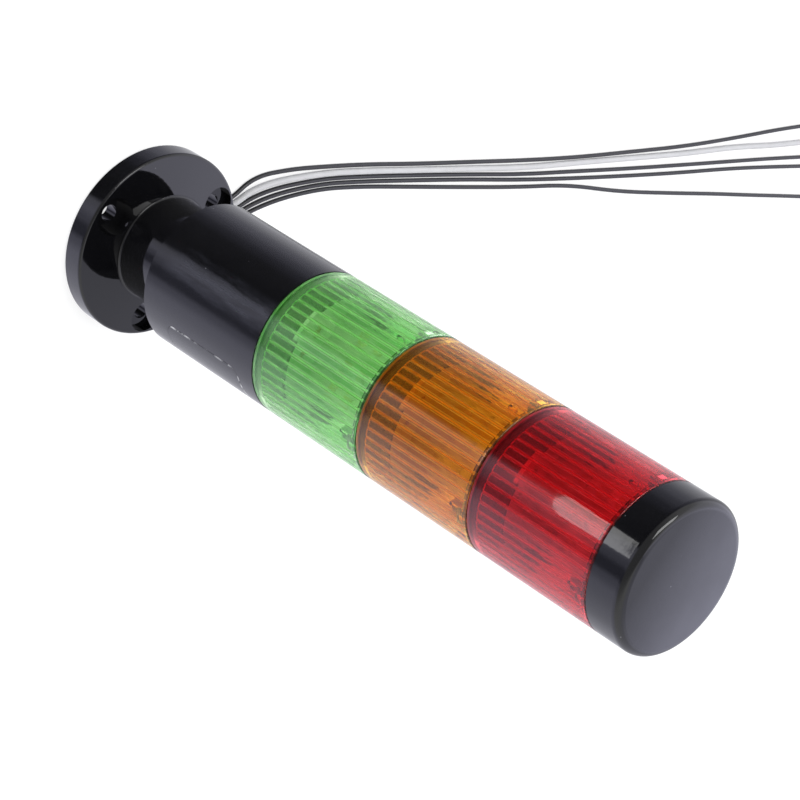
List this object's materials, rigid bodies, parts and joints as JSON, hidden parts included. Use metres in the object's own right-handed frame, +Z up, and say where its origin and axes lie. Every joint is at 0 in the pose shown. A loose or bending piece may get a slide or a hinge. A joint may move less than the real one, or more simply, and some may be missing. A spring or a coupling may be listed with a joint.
{
  "type": "stack light",
  "caption": "Signal tower on a round flange: green, amber and red fluted lenses between a black housing and cap, joined by twist-lock couplings, with loose leads.",
  "frame": {"origin": "centre of the flange's mounting face, on the surface that the tower stands on", "axes": "+Z up the tower's axis, from the flange to the cap; +X towards the access cover in the housing"},
  "size_m": [0.2262, 0.3678, 0.248],
  "materials": {
    "gloss_black": "gloss",
    "matte_black": "satin",
    "green_clear": "clear gloss",
    "amber_clear": "clear gloss",
    "red_clear": "clear gloss",
    "circuit_board": "solder mask",
    "lamp": "gloss",
    "brass": "polished",
    "rubber": "matte",
    "steel": "satin",
    "white_plastic": "satin",
    "black_wire": "satin",
    "grey_wire": "satin"
  },
  "bodies": {
    "base": {"mounting_flange": "gloss_black", "base_housing": "gloss_black", "service_cover": "gloss_black", "neck_gasket": "rubber", "lock_nut": "matte_black", "lead_grommet": "rubber", "terminal_board": "circuit_board", "board_screws": "steel", "lead_connector": "white_plastic", "base_contact_head": "matte_black", "base_contact_pads": "brass", "lead_a": "black_wire", "lead_grey": "grey_wire", "lead_b": "black_wire", "lead_c": "black_wire", "lead_d": "black_wire"},
    "green_module": {"green_lens": "green_clear", "green_foot": "matte_black", "green_lamp_board": "circuit_board", "green_lamps": "lamp", "green_contact_head": "matte_black", "green_contact_pads": "brass", "green_contact_pins": "brass", "green_seal_ring": "rubber"},
    "amber_module": {"amber_lens": "amber_clear", "amber_foot": "matte_black", "amber_lamp_board": "circuit_board", "amber_lamps": "lamp", "amber_contact_head": "matte_black", "amber_contact_pads": "brass", "amber_contact_pins": "brass", "amber_seal_ring": "rubber"},
    "red_module": {"red_lens": "red_clear", "red_foot": "matte_black", "red_lamp_board": "circuit_board", "red_lamps": "lamp", "red_contact_head": "matte_black", "red_contact_pads": "brass", "red_contact_pins": "brass", "red_seal_ring": "rubber"},
    "cap": {"top_cap": "gloss_black", "cap_seal_ring": "rubber"}
  },
  "joints": [
    {"name": "green_twist", "type": "hinge", "parent": "base", "child": "green_module", "pos_m": [0, 0, 0.088], "axis": [0, 0, 1], "range_deg": [0, 20]},
    {"name": "amber_twist", "type": "hinge", "parent": "green_module", "child": "amber_module", "pos_m": [0, 0, 0.137], "axis": [0, 0, 1], "range_deg": [0, 20]},
    {"name": "red_twist", "type": "hinge", "parent": "amber_module", "child": "red_module", "pos_m": [0, 0, 0.186], "axis": [0, 0, 1], "range_deg": [0, 20]},
    {"name": "cap_twist", "type": "hinge", "parent": "red_module", "child": "cap", "pos_m": [0, 0, 0.235], "axis": [0, 0, 1], "range_deg": [0, 20]}
  ]
}
